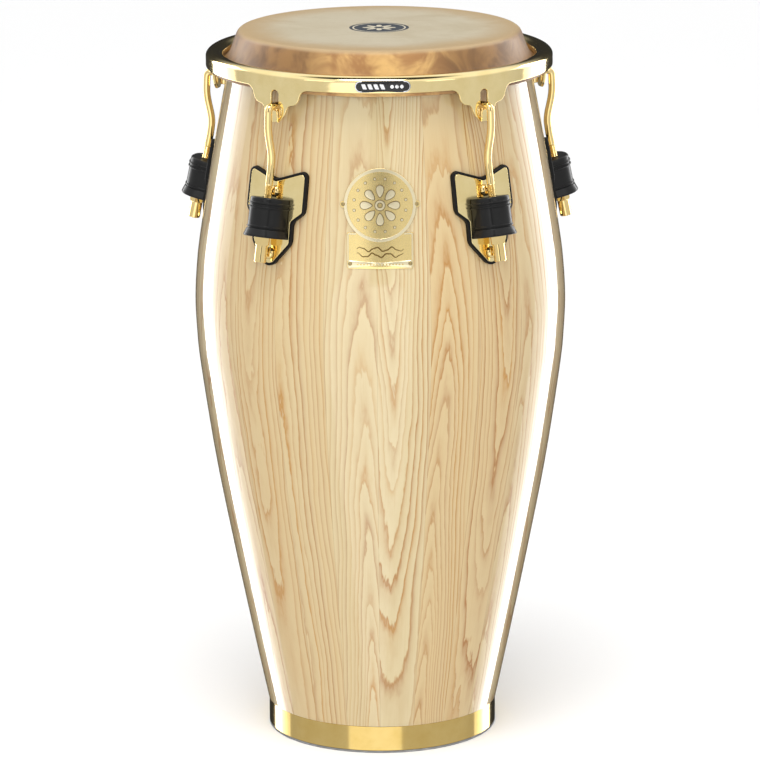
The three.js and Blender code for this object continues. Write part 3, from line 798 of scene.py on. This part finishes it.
def make_hook():
    line, plain, threaded = hook_line()
    count = 24
    around = np.arange(count) * 2 * pi / count
    slope = np.gradient(line, axis=0)
    slope /= np.linalg.norm(slope, axis=1)[:, None]
    radii = np.full(len(line), ROD_RADIUS)
    radii[[0, -1]] = ROD_RADIUS - 0.9
    line[1] = line[0] + slope[0] * 0.8
    rings = []
    for i, ((r, z), (dr, dz)) in enumerate(zip(line, slope)):
        radius = np.full(count, radii[i])
        if plain <= i < plain + threaded:
            along = (i - plain) * THREAD_PITCH / THREAD_STEPS
            ease = min(1, along / 2, (THREAD_ENDS[1] - THREAD_ENDS[0] - along) / 2)
            wave = np.abs(((along / THREAD_PITCH - around / (2 * pi)) % 1) * 2 - 1)
            radius = radius - ease * THREAD_DEPTH * wave
        side, out = radius * np.sin(around), radius * np.cos(around)  # out: away from the drum
        rings.append(np.stack([side, -(r + out * dz), z - out * dr], 1))
    return loft(rings)


def softened(shape, width):
    """Bevels every sharp edge a little."""
    work = bmesh.new()
    mesh = mesh_of(shape)
    work.from_mesh(mesh)
    sharp = [e for e in work.edges if len(e.link_faces) == 2 and e.calc_face_angle(0) > radians(28)]
    settings = {"profile": 0.5, "affect": "EDGES", "clamp_overlap": True}
    bmesh.ops.bevel(work, geom=sharp, offset=width, segments=2, **settings)
    work.to_mesh(mesh)
    work.free()
    shape = shape_of(mesh)
    bpy.data.meshes.remove(mesh)
    return shape


def hex_prism(across_flats, low, high):
    ring = circle(0, 0, across_flats / sqrt(3), 6)
    return loft([[(x, y, z) for x, y in ring] for z in (low, high)])


def make_nut():
    """Hex with chamfered corners above a round barrel, bored for the rod."""
    top, hex_low, low, barrel, bore = 0.7, -8.6, -26.2, 6.3, 4.35
    chamfer = [(0, hex_low), (7.0, hex_low), (8.3, hex_low + 1.5), (8.3, top - 0.8), (7.4, top), (0, top)]
    head = boolean(hex_prism(14, hex_low - 1, top + 1), lathe(chamfer, 72), "INTERSECT")
    sleeve = [(0, low), (barrel - 0.6, low), (barrel, low + 0.6), (barrel, -5), (0, -5)]
    drill = [(0, low - 1), (bore + 1.6, low - 1), (bore, low + 0.6), (bore, top + 1), (0, top + 1)]
    sleeve, drill = lathe(sleeve, BORE_ROUND), lathe(drill, BORE_ROUND)
    return softened(boolean(boolean(head, sleeve, "UNION"), drill, "DIFFERENCE"), 0.14).moved(ON_ROD)


def make_washer():
    return turned_ring(4.5, 9.8, 1, 2.7, 0.35, 64).moved(ON_ROD)


def make_bolt(height):
    """Button head with a hex socket, its shank through to the weld nut inside."""
    seat = PLATE_OUTSIDE + CLEAR + 0.2
    head = [(0, -21.8), (2.2, -21.8), (2.9, -21), (2.9, seat), (5.7, seat), (6.1, seat + 0.5)]
    head += [*arc((0, seat + 0.5), 6.1, 10, 78, 10, 3.6), (0, seat + 4.05)]
    socket = hex_prism(4, seat + 1.6, seat + 9)
    return boolean(lathe(head, BORE_ROUND), socket, "DIFFERENCE").moved(square_to_shell(height))


def make_backing_plate():
    """Inner plate with a weld nut behind each bolt."""
    low, high, half = 540, 628, 15
    outline = rounded([(-half, low), (half, low), (half, high), (-half, high)], 4)
    back = -SHELL_WALL - CLEAR - 2.5
    shape = wrapped(plate(outline, bolt_holes(3.2), 2.5, 0, 0.4, 5), off_shell(back))
    for height in BOLT_HEIGHTS:
        drill = lathe([(0, -60), (3.1, -60), (3.1, 9), (0, 9)], BORE_ROUND)
        nut = boolean(hex_prism(11.2, back - 5, back + 0.6), drill, "DIFFERENCE")
        shape = shape.joined(softened(nut, 0.3).moved(square_to_shell(height)))
    return shape


# ---- materials: a small language for node graphs ----
def light_of(color):
    """Linear light of an 8-bit sRGB colour, or of one level that is linear already."""
    if not isinstance(color, tuple):
        return (color, color, color, 1)
    return (*(((c / 255 + 0.055) / 1.055) ** 2.4 if c > 10 else c / 255 / 12.92 for c in color), 1)


class Value:
    """A socket that does arithmetic."""

    def __init__(self, graph, socket):
        self.graph, self.socket = graph, socket


def arithmetic(operation, swapped=False):
    def worked_out(self, other):
        pair = (other, self) if swapped else (self, other)
        return self.graph.math(operation, *pair)

    return worked_out


for sign, operation in (("add", "ADD"), ("sub", "SUBTRACT"), ("mul", "MULTIPLY"), ("truediv", "DIVIDE")):
    setattr(Value, f"__{sign}__", arithmetic(operation))
    setattr(Value, f"__r{sign}__", arithmetic(operation, swapped=True))


class Graph:
    """The nodes of a material or of the room."""

    def __init__(self, tree):
        self.tree = tree

    def node(self, kind, **settings):
        made = self.tree.nodes.new(f"ShaderNode{kind}")
        for key, value in settings.items():
            setattr(made, key, value)
        return made

    def feed(self, socket, value):
        if isinstance(value, Value):
            value = value.socket
        if isinstance(value, bpy.types.NodeSocket):
            self.tree.links.new(value, socket)
        else:
            socket.default_value = value

    def fed(self, made, *values, output=0, **named):
        """A node's output once its sockets are fed, the first ones in order and others by name."""
        for socket, value in zip(made.inputs, values):
            self.feed(socket, value)
        for name, value in named.items():
            self.feed(made.inputs[name], value)
        return Value(self, made.outputs[output])

    def math(self, operation, *values):
        return self.fed(self.node("Math", operation=operation), *values)

    def vector(self, x, y, z):
        return self.fed(self.node("CombineXYZ"), x, y, z)

    def split(self, vector, kind="XYZ"):
        made = self.node(f"Separate{kind}")
        self.fed(made, vector)
        return [Value(self, socket) for socket in made.outputs]

    def noise(self, at, scale=1.0, detail=2.0, roughness=0.5, distortion=0.0):
        """Smooth noise about 0, roughly -1 to 1."""
        shape = {"Scale": scale, "Detail": detail, "Roughness": roughness, "Distortion": distortion}
        return (self.fed(self.node("TexNoise"), Vector=at, **shape) - 0.5) * 2

    def white(self, value):
        return self.fed(self.node("TexWhiteNoise", noise_dimensions="1D"), W=value, output="Value")

    def ramp(self, value, stops, interpolation="LINEAR"):
        """Colours (or lone levels) at positions along 0 to 1."""
        made = self.node("ValToRGB")
        made.color_ramp.interpolation = interpolation
        points = made.color_ramp.elements
        while len(points) < len(stops):
            points.new(0.5)
        for point, (at, _) in zip(points, stops):
            point.position = at
        for point, (_, color) in zip(made.color_ramp.elements, stops):
            point.color = color if isinstance(color, tuple) else light_of(color)
        return self.fed(made, value)

    def mix(self, factor, a, b):
        made = self.node("Mix", data_type="RGBA")
        self.feed(made.inputs[0], factor)
        for socket, value in ((made.inputs[6], a), (made.inputs[7], b)):
            self.feed(socket, value if isinstance(value, Value) else light_of(value))
        return Value(self, made.outputs[2])

    def step(self, value, low, high):
        return self.fed(self.node("MapRange", interpolation_type="SMOOTHSTEP"), value, low, high)


class Look(Graph):
    """One material, with the point's place about the drum's axis as x, y, z in mm."""

    def __init__(self, name, color, roughness, metallic=0.0, **uniform):
        self.material = bpy.data.materials.new(name)
        self.material.use_nodes = True
        super().__init__(self.material.node_tree)
        self.tree.nodes.clear()
        self.shader = self.node("BsdfPrincipled")
        self.feed(self.node("OutputMaterial").inputs["Surface"], self.shader.outputs[0])
        self.set(Base_Color=light_of(color), Roughness=roughness, Metallic=metallic, **uniform)
        shift = self.node("VectorMath", operation="SUBTRACT")
        from_axis = self.fed(shift, self.node("TexCoord").outputs["Object"], (0, AXIS_Y * MM, 0))
        self.place = self.fed(self.node("VectorMath", operation="SCALE"), from_axis, Scale=1 / MM)
        self.x, self.y, self.z = self.split(self.place)

    def polar(self):
        """Radius from the drum's axis, and turn about it with 0 at the front."""
        radius = self.math("SQRT", self.x * self.x + self.y * self.y)
        return radius, self.math("ARCTAN2", self.x, self.y * -1)

    def set(self, **sockets):
        for name, value in sockets.items():
            self.feed(self.shader.inputs[name.replace("_", " ")], value)

    def bump(self, height, strength, distance):
        self.set(Normal=self.fed(self.node("Bump"), Height=height, Strength=strength, Distance=distance))


# ---- ash: plain-sawn staves, each with its own heart line and arches ----
STAVES = 22
STAVE_TURN = 0.0175 + pi  # from the joint where the count of staves starts, round to the front
FRONT_STAVES = {  # stave: (heart line across in mm, depth of the rings' centre in mm, lean, tan)
    7: (8, 16, 0.035, 0.7),
    8: (-8, 12, -0.045, 0.75),
    9: (-24, 14, 0.03, 0.55),
    10: (12, 7, 0.085, 0.2),
    11: (-12, 6, -0.095, 0.05),
    12: (-12, 6, 0.1, 0.75),
    13: (7, 8, -0.07, 0.8),
    14: (-16, 12, 0.05, 0.6),
    15: (2, 10, -0.06, 0.5),
}
RING_SPACING = 5.4
RING_SHADE = [(0, 0.7), (0.05, 0.9), (0.15, 0.55), (0.36, 0.22), (0.7, 0.05), (0.93, 0.0), (1, 0.7)]
draw = np.random.default_rng(11)


def stave_table():
    rows = []
    for i in range(STAVES):
        heart, depth = draw.uniform(-22, 22), draw.uniform(5, 18)
        lean = draw.choice((-1, 1)) * draw.uniform(0.03, 0.1)
        rows.append(FRONT_STAVES.get(i, (heart, depth, lean, draw.uniform(0.05, 0.85))))
    return rows


def ash(name, raw):
    """Ash grain. Raw wood inside the shell is matt and a little greyer."""
    lacquer = {} if raw else {"Coat_Weight": 1.0, "Coat_Roughness": 0.02, "Coat_IOR": 1.65}
    base = 0.75 if raw else 0.42
    g = Look(name, (229, 208, 168), base, Specular_IOR_Level=0.3 if raw else 0.05, **lacquer)
    radius, turn = g.polar()
    place = (turn + STAVE_TURN) * (STAVES / (2 * pi))
    index = g.math("FLOOR", place)
    across = (place - index - 0.5) * (2 * pi / STAVES) * radius
    stops = [
        ((i + 0.001) / STAVES if i else 0.0, ((u + 60) / 120, d / 40, (k + 0.2) / 0.4, tone))
        for i, (u, d, k, tone) in enumerate(stave_table())
    ]
    table = g.ramp((index + 0.5) / STAVES, stops, "CONSTANT")
    tone = Value(g, table.socket.node.outputs["Alpha"])
    heart, depth, lean = g.split(table, "Color")
    heart, depth, lean = heart * 120 - 60, depth * 40, lean * 0.4 - 0.2
    own = g.white(index * 7.31 + 2.7)
    shift = own * 900

    def grain(across, along, detail, roughness=0.5):
        return g.noise(g.vector(across, shift, along), 1, detail, roughness)

    u = across - heart + grain(own * 50, g.z / 170, 1) * 7
    wander = grain(u / 34, g.z / 210, 2, 0.55) * 5.5
    fade = 1 / (1 + (u * u) / 480)
    ragged = grain(u / 5, g.z / 22, 2, 0.6) * (0.6 + 1.5 * fade * fade)
    rise = (g.z - 380) * lean * fade
    waver = grain(across / 16, g.z / 90, 2) * 2.4
    reach = g.math("SQRT", u * u + depth * depth)
    ring = (reach + rise + wander * fade + waver + ragged) / RING_SPACING + own * 40
    ring = ring + grain(ring / 2.2, 0.0, 0) * 0.42
    number = g.math("FLOOR", ring)
    bold = g.white(number * 3.17 + shift) * 0.55 + 0.45
    line = g.ramp(ring - number, RING_SHADE)
    pores = g.step(grain(u * 2.1, g.z * 0.09, 3, 0.7), 0.16, 0.62)
    fibre = grain(across * 1.5, g.z * 0.022, 4, 0.62)
    cloud = grain(across / 45, g.z / 160, 2)
    pale = g.mix(g.step(tone + cloud * 0.3, -0.1, 1.1), (202, 186, 146), (198, 173, 127))
    dark = g.mix(g.white(number * 1.7 + shift + 5), (172, 116, 26), (144, 84, 14))
    strength = line * bold * (0.72 + 0.28 * pores) * (0.9 if raw else 1.3)
    wood = g.mix(strength, pale, dark)
    wood = g.mix(g.step(fibre, -0.1, 0.9) * 0.3, wood, (168, 128, 72))
    to_joint = g.math("ABSOLUTE", across) - (pi / STAVES) * radius
    joint = 1 - g.step(g.math("ABSOLUTE", to_joint), 0.0, 0.35)
    wood = g.mix(joint * 0.35, wood, (110, 78, 42))
    if raw:
        wood = g.mix(0.35, wood, (176, 152, 118))
    g.set(Base_Color=wood, Roughness=(0.78 if raw else 0.4) + strength * 0.12 + fibre * 0.05)
    g.bump(strength * -0.6 + pores * -0.25 + fibre * 0.2, 0.5 if raw else 0.12, 0.0002)
    return g.material


def gold(name, roughness, scratch, color):
    """Gold-coloured plating with hairlines and faint uneven polish."""
    g = Look(name, color, roughness, 1.0)
    cloud = g.noise(g.place, 0.045, 3, 0.6)
    hair = g.noise(g.vector(g.x * 0.5, g.y * 0.5, g.z * 6), 1, 2, 0.7)
    dull = tuple(c - d for c, d in zip(color, (9, 12, 18)))
    g.set(
        Roughness=g.math("MAXIMUM", roughness + cloud * roughness * 0.3 + hair * scratch, 0.02),
        Base_Color=g.mix(g.step(cloud, -0.6, 0.8), color, dull),
    )
    g.bump(hair, scratch * 0.6, 0.00003)
    return g.material


def satin_gold(name, color):
    """Fine vertical brushing on gold-coloured sheet."""
    g = Look(name, color, 0.28, 1.0)
    brush = g.noise(g.vector(g.polar()[1] * 900, 0.0, g.z * 0.06), 1, 3, 0.7)
    cloud = g.noise(g.place, 0.06, 2)
    g.set(
        Roughness=0.27 + brush * 0.05 + cloud * 0.04,
        Base_Color=g.mix(g.step(brush, -0.7, 0.7), color, tuple(c - 10 for c in color)),
    )
    g.bump(brush, 0.06, 0.00004)
    return g.material


def rubber(name, level, roughness, **uniform):
    g = Look(name, level, roughness, Specular_IOR_Level=0.2, **uniform)
    grain, smear = g.noise(g.place, 1.6, 4, 0.65), g.noise(g.place, 0.09, 3, 0.6)
    g.set(
        Roughness=roughness + grain * 0.05 + smear * 0.1,
        Base_Color=g.mix(g.step(smear + grain * 0.3, -0.2, 0.9), level, level * 2),
    )
    g.bump(grain, 0.12, 0.00015)
    return g.material


def mottled(name, color, other, roughness, noise, spread, uneven, bump, metallic=0.0):
    """A coating whose colour, roughness and surface wander together."""
    g = Look(name, color, roughness, metallic)
    spots = g.noise(g.place, *noise)
    share = g.step(spots, *spread)
    g.set(Roughness=roughness + spots * uneven, Base_Color=g.mix(share, color, other))
    g.bump(spots, *bump)
    return g.material


def steel(name, color, roughness):
    dull = tuple(c * 0.8 for c in color)
    return mottled(name, color, dull, roughness, (0.35, 4, 0.65), (-0.5, 0.7), 0.09, (0.1, 0.0001), 1.0)


def enamel(name, color, roughness):
    worn = tuple(c + 9 for c in color)
    return mottled(name, color, worn, roughness, (0.9, 3, 0.6), (-0.4, 0.9), 0.06, (0.08, 0.0001))


def hide(name):
    """Rawhide: pale scraped face with a printed disc, and a browner collar, painted lighter at the front
    and darker round the sides as painted light and shade.
    """
    g = Look(name, (200, 180, 148), 0.5, Coat_Weight=0.06, Coat_Roughness=0.2)
    radius, turn = g.polar()
    pores = g.noise(g.place, 0.85, 4, 0.7)
    blotch = g.noise(g.place, 0.016, 3, 0.6, 0.6)
    streak = g.noise(g.vector(g.x / 55, g.y / 9, g.z / 12), 1, 3, 0.6, 0.8)
    fine = g.noise(g.vector(g.x / 7, g.y / 2.6, g.z / 3), 1, 4, 0.7)
    face = g.mix(g.step(blotch + streak * 0.35, -0.5, 0.6), (192, 182, 158), (180, 167, 139))
    face = g.mix(g.step(radius + blotch * 14, 95, 146), face, (178, 152, 112))
    wave = g.noise(g.vector(turn * 5, 0.0, g.z / 34), 1, 3, 0.6, 0.8)
    # painted light and shade: the collar is painted lighter where it faces the front and darker round the
    # sides
    front = g.mix(g.step(wave, -0.35, 0.35), (210, 170, 106), (156, 112, 64))
    painted_shade_sides = g.mix(g.step(wave, -0.35, 0.35), (146, 108, 62), (112, 80, 46))
    collar = g.mix(g.step(g.math("ABSOLUTE", turn), 0.22, 0.6), front, painted_shade_sides)
    skin = g.mix(g.step(g.z + blotch * 1.5, 757.5, 761.9), collar, face)
    skin = g.mix(g.step(pores + fine, 0.0, 1.0) * 0.4, skin, (140, 102, 60))
    # the print: a dark disc with a pale ring and a plain eight-petal rosette
    ragged = radius + pores * 0.35
    disc = (1 - g.step(ragged, 31.2, 31.8)) * g.step(g.z, HEAD_TOP - 1.2, HEAD_TOP - 0.6)
    ring = g.step(ragged, 26.3, 26.8) * (1 - g.step(ragged, 28.0, 28.5))
    petals = g.math("ABSOLUTE", g.math("COSINE", turn * 4)) * 13 + 5
    rosette = g.step(petals - ragged, 0.0, 0.8) * g.step(ragged, 5.0, 5.6)
    ink = g.math("MAXIMUM", ring, rosette)
    wear = g.step(pores + blotch * 0.4, 0.55, 0.95)
    print_color = g.mix(ink, (52, 58, 66), (205, 196, 172))
    skin = g.mix(disc * (1 - wear * 0.5), skin, print_color)
    g.set(Base_Color=skin, Roughness=0.52 + pores * 0.08 + blotch * 0.06)
    g.bump(pores * 0.7 + streak * 0.6, 0.22, 0.0003)
    return g.material


lacquered_ash = ash("lacquered_ash", raw=False)
raw_ash = ash("raw_ash", raw=True)
crown_gold = gold("crown_gold", 0.1, 0.015, (250, 230, 172))
band_gold = gold("band_gold", 0.11, 0.015, (216, 188, 120))
hook_gold = gold("hook_gold", 0.06, 0.02, (248, 222, 160))
plate_gold = gold("plate_gold", 0.12, 0.02, (250, 230, 172))
badge_gold = satin_gold("badge_gold", (250, 225, 158))
badge_relief = gold("badge_relief", 0.3, 0.03, (252, 240, 204))
# darker gold on the flanks of the badge's raised work and on its scrollwork: painted shade round the relief
badge_painted_shade = gold("badge_painted_shade", 0.4, 0.03, (128, 104, 60))
chrome = steel("chrome", (232, 232, 234), 0.08)
black_enamel = enamel("black_enamel", (16, 16, 17), 0.28)
zinc_steel = steel("zinc_steel", (186, 186, 190), 0.36)
nail_steel = steel("nail_steel", (190, 168, 118), 0.45)
bumper_rubber = rubber("bumper_rubber", 0.003, 0.45, Coat_Weight=0.3, Coat_Roughness=0.1)
gasket_rubber = rubber("gasket_rubber", 0.005, 0.5)
floor_rubber = rubber("floor_rubber", 0.2, 0.7)
rawhide = hide("rawhide")

# ---- assembly ----
single_parts = [
    ("shell", make_shell(), "drum", "ash_wood", [lacquered_ash, raw_ash]),
    ("foot_rubber", make_ring("foot_rubber", 0.7), "drum", "foot_rubber", [floor_rubber]),
    ("base_band", make_ring("base_band", 0.5, CROWN_ROUND), "drum", "gold_polished", [band_gold]),
    ("flesh_hoop", make_ring("flesh_hoop", 1.6), "crown", "bare_steel", [zinc_steel]),
    ("crown", make_crown(), "crown", "gold_polished", [crown_gold]),
    ("crown_badge", make_crown_badge(), "crown", "chrome", [black_enamel, chrome]),
    ("name_badge", make_name_badge(), "drum", "gold_satin", [badge_gold, badge_relief, badge_painted_shade]),
]
for i, at in enumerate(BADGE_NAILS, 1):
    single_parts.append((f"badge_nail_{i}", make_nail(at), "drum", "bare_steel", [nail_steel]))
for node, shape, body, slot, materials in single_parts:
    place_piece(f"visual_{node}", shape, body, node, materials)
head = place_piece("visual_head", make_head(), None, "head_skin", [rawhide], sharp=50)
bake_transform(head)  # the head rides on no body; its mesh is baked where it stands

lug_parts = [
    ("gasket", make_gasket(), "drum", "lug_gasket", "gasket_rubber", gasket_rubber),
    ("side_plate", make_side_plate(), "drum", "side_plate", "gold_satin", plate_gold),
    ("bumper", make_bumper(), "drum", "lug_bumper", "bumper_rubber", bumper_rubber),
    ("hook", make_hook(), "hook", "tuning_hook", "gold_polished", hook_gold),
    ("nut", make_nut(), "nut", "tuning_nut", "gold_polished", hook_gold),
    ("washer", make_washer(), "drum", "thrust_washer", "bare_steel", zinc_steel),
    ("bolt_upper", make_bolt(BOLT_HEIGHTS[0]), "drum", "plate_bolt_upper", "gold_polished", hook_gold),
    ("bolt_lower", make_bolt(BOLT_HEIGHTS[1]), "drum", "plate_bolt_lower", "gold_polished", hook_gold),
    ("backing", make_backing_plate(), "drum", "backing_plate", "bare_steel", zinc_steel),
]
for name, shape, body, node, slot, material in lug_parts:
    for k in LUG_NAMES:
        rides_on = body if body == "drum" else f"{body}_{k}"
        place_piece(f"visual_{name}_{k}", shape, rides_on, f"{node}_{k}", [material], lug_angle(k))

# ---- floor and light ----
floor_mesh = bpy.data.meshes.new("floor")
corners = [(-25, -25, 0), (25, -25, 0), (25, 45, 0), (-25, 45, 0)]
floor_mesh.from_pydata(corners, [], [(0, 1, 2, 3)])
floor = linked("floor", floor_mesh)
floor_mesh.materials.append(Look("floor_white", 0.96, 0.6).material)
floor.visible_glossy = False


def turned_towards(direction):
    return Vector(direction).to_track_quat("-Z", "Y").to_euler()


def softbox(name, at, aim, width, height, power):
    data = bpy.data.lights.new(name, "AREA")
    data.shape, data.size, data.size_y, data.energy = "RECTANGLE", width, height, power
    light = linked(name, data)
    light.location = at
    light.rotation_euler = turned_towards(Vector(aim) - Vector(at))
    light.visible_camera = False
    return light


# tall strips behind each side of the drum, each dimmer than the last towards the front, as
# (degrees from the camera's side, half width in degrees, brightness)
STRIPS = [(135.5, 7.5, 6), (125.5, 2.5, 4), (120.5, 2.5, 2.4), (115.5, 2.5, 1.5), (110, 3, 1.05)]
STRIP_AWAY, STRIP_HEIGHT = 1.35, 2.6  # metres
DRUM_EDGE, DRUM_MIDDLE = 0.19, 0.45
for side in (-1, 1):
    edge = Vector((side * DRUM_EDGE, AXIS_Y * MM, DRUM_MIDDLE))
    for i, (turn, half, level) in enumerate(STRIPS):
        away = radians(turn)
        at = edge + STRIP_AWAY * Vector((side * sin(away), -cos(away), 0))
        width = 2 * STRIP_AWAY * tan(radians(half))
        power = level * pi * width * STRIP_HEIGHT
        softbox(f"strip_{side}_{i}", at, edge, width, STRIP_HEIGHT, power).visible_diffuse = False
    softbox(f"fill_{side}", (side * 2.2, -2.6, 1.9), (0, 0, 0.4), 1.2, 1.2, 4)
softbox("key", (0.1, -3.0, 1.4), (0, 0, 0.3), 1.5, 0.9, 24).visible_glossy = False
softbox("top", (0, -0.7, 3.0), (0, 0, 0.5), 1.8, 1.4, 12).visible_glossy = False

sun = bpy.data.lights.new("sun", "SUN")
sun.energy, sun.angle = 1.2, radians(30)
linked("sun", sun).rotation_euler = turned_towards((0.1, 0.62, -1.6))

# the room: dark behind the drum, even at the sides, bright high up round a dark roof
world = bpy.data.worlds.new("studio")
world.use_nodes = True
bpy.context.scene.world = world
room = Graph(world.node_tree)
outward = room.node("TexCoord").outputs["Generated"]
_, depth, rise = room.split(outward)


def facing(direction, start, end):
    """Rises from 0 to 1 while the cosine to a direction goes from start to end."""
    aim = room.node("VectorMath", operation="DOT_PRODUCT")
    return room.step(room.fed(aim, outward, Vector(direction).normalized(), output="Value"), start, end)


def lit(share, level):
    return room.mix(share, light, level)


light = room.ramp((1 - depth) / 2, [(0.0, 0.03), (0.09, 0.05), (0.14, 0.5), (0.5, 0.72), (1, 0.77)])
light = lit(room.step(rise, 0.3, 0.75), 1.15)
light = lit(facing((-0.13, -1, -0.3), 0.893, 0.908), 1.5)  # a window low in front, a little to the left
gap = facing((-1, 0, 0), 0.15, 0.09) * facing((1, 0, 0), 0.15, 0.09)
gap = gap * (facing((0, 0, 1), 0.0, 0.06) * facing((0, -1, 0), 0.0, 0.1))
light = lit(gap, 0.03)  # a dark gap above the window, where the camera stands
light = lit(facing((0, 0, 1), 0.86, 0.95), 0.04)  # a dark roof
room.feed(room.tree.nodes["Background"].inputs["Color"], light)
bpy.context.scene.view_settings.view_transform = "Standard"
